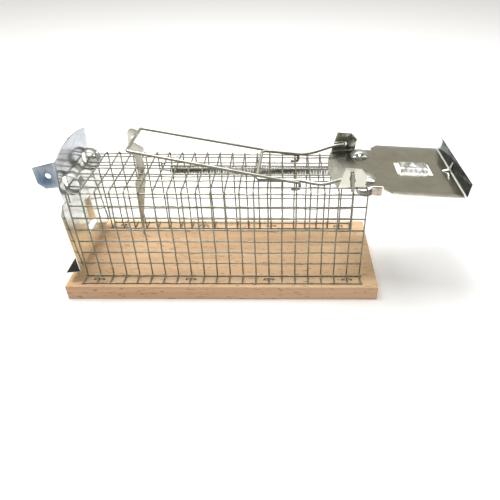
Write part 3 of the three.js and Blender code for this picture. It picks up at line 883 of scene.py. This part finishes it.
def build_trigger():
    """The stamped plate, with its round head, its beak over the bail and its blade in the tunnel."""
    shape = [(x, z + TOP) for x, z in bezier(*SPOON) + BLADE + BEAK]
    hole = circle_outline(TRIGGER_X, PIN_Z, PIN_HOLE_R, 20)
    bm = flat_blank([rounded_outline(shape, 0.8, 3), hole], TRIGGER_THICKNESS, 0.2)
    for vertex in bm.verts:
        x, z, depth = vertex.co
        vertex.co = Vector((x, depth, z)) * MM
    piece("trigger_plate", bm, "trigger", TRIGGER_SHEET, ["trigger"], sharp=32)
    ends = [(TRIGGER_X, -PITCH, PIN_Z), (TRIGGER_X, PITCH, PIN_Z)]
    wire_piece(
        "trigger_pin_wire", ends, PIN_R, 0, "cage", WIRE_METAL, ["trigger_pivot_pin"],
    )


build_trigger()


# ---------------------------------------------------------------- spring

SPRING_Y = PITCH
SPRING_Z = ROOF_Z - 5.8
SPRING_START, SPRING_END = -52, 127
COIL_R = 4.2
COIL_WIRE_R = 0.5
COILS = 114
COIL_POINTS = 14
LINK_R, LINK_BEND = 0.7, 1.5
LINK_X = -4.5 * PITCH
TAIL_RING_R, TAIL_WIRE_R = 2.2, 0.6
TAIL_RING_U, TAIL_RING_W = -9.2, -3
TAIL_RING_POINTS = 28


def build_spring():
    """The closing spring's coil, built at one length; the real spring shortens as the front door shuts."""
    path = []
    total = COILS * COIL_POINTS
    for i in range(total + 1):
        t = i / total
        angle = 2 * math.pi * COILS * t
        x = SPRING_START + COIL_WIRE_R + (SPRING_END - SPRING_START - 2 * COIL_WIRE_R) * t
        path.append(Vector((x, SPRING_Y + COIL_R * math.cos(angle), SPRING_Z + COIL_R * math.sin(angle))))
    bm = bmesh.new()
    sweep(bm, path, COIL_WIRE_R, 6)
    spring = piece("spring_coil", bm, "cage", SPRING_METAL, ["spring"])
    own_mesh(spring)


def build_spring_ends():
    """The link that hangs the spring from a roof wire, and the ring that ties it to the door."""
    link = [
        (SPRING_START + 1, SPRING_Y, SPRING_Z), (LINK_X - 2.4, SPRING_Y, SPRING_Z + 0.6),
        (LINK_X - 2.4, SPRING_Y, ROOF_Z + 2), (LINK_X + 1.8, SPRING_Y, ROOF_Z + 2),
    ]
    wire_piece(
        "spring_link_wire", link, LINK_R, LINK_BEND, "cage", SPRING_METAL,
        ["spring_anchor_link"], step=0.5,
    )
    circle = arc_points((TAIL_RING_U, TAIL_RING_W), TAIL_RING_R, 0, 2 * math.pi, TAIL_RING_POINTS)[:-1]
    ring = bmesh.new()
    sweep(ring, [FRONT_PLACE @ Vector((u, SPRING_Y, w)) for u, w in circle], TAIL_WIRE_R, 8, closed=True)
    piece("tail_ring_wire", ring, "front_door", SPRING_METAL, ["spring_tail_ring"])


build_spring()
build_spring_ends()


# ---------------------------------------------------------------- floor, light and camera

FLOOR_HALF_SIZE = 6
LIGHT_TARGET = (0, 0, 0.03)
# Each light is its name, place, size, power and colour
LIGHTS = [
    ("key", (-0.35, 0.1, 1.5), (0.7, 0.7), 14, (1, 0.99, 0.97)),
    ("fill", (0.9, 0.0, 1.3), (0.8, 0.8), 3, (0.97, 0.98, 1)),
    ("top", (0.1, 0.6, 1.4), (1.2, 0.6), 8, (1, 1, 1)),
]
# The studio walls' colour by the direction's Z, and their brightness by its Y
WALL_COLOURS = [(0.0, (0.50, 0.51, 0.51)), (0.45, (0.38, 0.355, 0.29)), (0.75, (0.75, 0.74, 0.71))]
WALL_DIMMING = {"From Min": -0.9, "From Max": -0.1, "To Min": 0.2, "To Max": 1.0}
CAMERA_PLACE = (0.059052, -0.424031, 0.319027)
CAMERA_HEADING, CAMERA_PITCH, CAMERA_ROLL = (math.radians(a) for a in (-0.829, 54.6, 0.691))
CAMERA_LENS = 35.44
CAMERA_SENSOR = 36
CAMERA_SHIFT = (-0.0795, -0.002)


def build_stage():
    """A plain pale floor."""
    bm = bmesh.new()
    bmesh.ops.create_grid(bm, x_segments=2, y_segments=2, size=FLOOR_HALF_SIZE)
    mesh = bpy.data.meshes.new("floor")
    bm.to_mesh(mesh)
    bm.free()
    floor = bpy.data.objects.new("floor", mesh)
    bpy.context.scene.collection.objects.link(floor)
    material, add, wire_up = shader("floor")
    wire_up("Base Color", (0.9, 0.905, 0.91, 1))
    wire_up("Roughness", 0.8)
    wire_up("Emission Color", (1, 1, 1, 1))
    wire_up("Emission Strength", 0.12)
    mesh.materials.append(material)


def add_light(name, place, size, power, colour):
    """A soft rectangular light aimed at the object."""
    light = bpy.data.lights.new(name, "AREA")
    light.shape = "RECTANGLE"
    light.size, light.size_y = size
    light.energy = power
    light.color = colour
    holder = bpy.data.objects.new(name, light)
    bpy.context.scene.collection.objects.link(holder)
    holder.location = place
    holder.rotation_euler = (Vector(LIGHT_TARGET) - Vector(place)).to_track_quat("-Z", "Y").to_euler()


def light_stage():
    """Soft studio walls, dimmer in front of the object than behind it, and three soft lights."""
    world = bpy.data.worlds.new("studio")
    bpy.context.scene.world = world
    world.use_nodes = True
    tree = world.node_tree
    background = tree.nodes["Background"]
    where = tree.nodes.new("ShaderNodeTexCoord")
    split = tree.nodes.new("ShaderNodeSeparateXYZ")
    shades = tree.nodes.new("ShaderNodeValToRGB")
    tree.links.new(where.outputs["Generated"], split.inputs[0])
    tree.links.new(split.outputs["Z"], shades.inputs["Fac"])
    tree.links.new(shades.outputs["Color"], background.inputs["Color"])
    elements = shades.color_ramp.elements
    elements.new(WALL_COLOURS[1][0])
    for element, (position, colour) in zip(elements, WALL_COLOURS):
        element.position = position
        element.color = (*colour, 1)
    front = tree.nodes.new("ShaderNodeMapRange")
    tree.links.new(split.outputs["Y"], front.inputs["Value"])
    for socket, value in WALL_DIMMING.items():
        front.inputs[socket].default_value = value
    tree.links.new(front.outputs["Result"], background.inputs["Strength"])
    for name, place, size, power, colour in LIGHTS:
        add_light(name, place, size, power, colour)
    bpy.context.scene.view_settings.view_transform = "Standard"


def add_camera():
    camera = bpy.data.cameras.new("camera")
    camera.lens = CAMERA_LENS
    camera.sensor_width = CAMERA_SENSOR
    camera.shift_x, camera.shift_y = CAMERA_SHIFT
    camera.clip_start = 0.01
    holder = bpy.data.objects.new("camera", camera)
    turn = (
        Matrix.Rotation(CAMERA_HEADING, 4, "Z")
        @ Matrix.Rotation(CAMERA_PITCH, 4, "X")
        @ Matrix.Rotation(CAMERA_ROLL, 4, "Z")
    )
    holder.matrix_world = Matrix.Translation(CAMERA_PLACE) @ turn
    bpy.context.scene.collection.objects.link(holder)
    bpy.context.scene.camera = holder


build_stage()
light_stage()
add_camera()
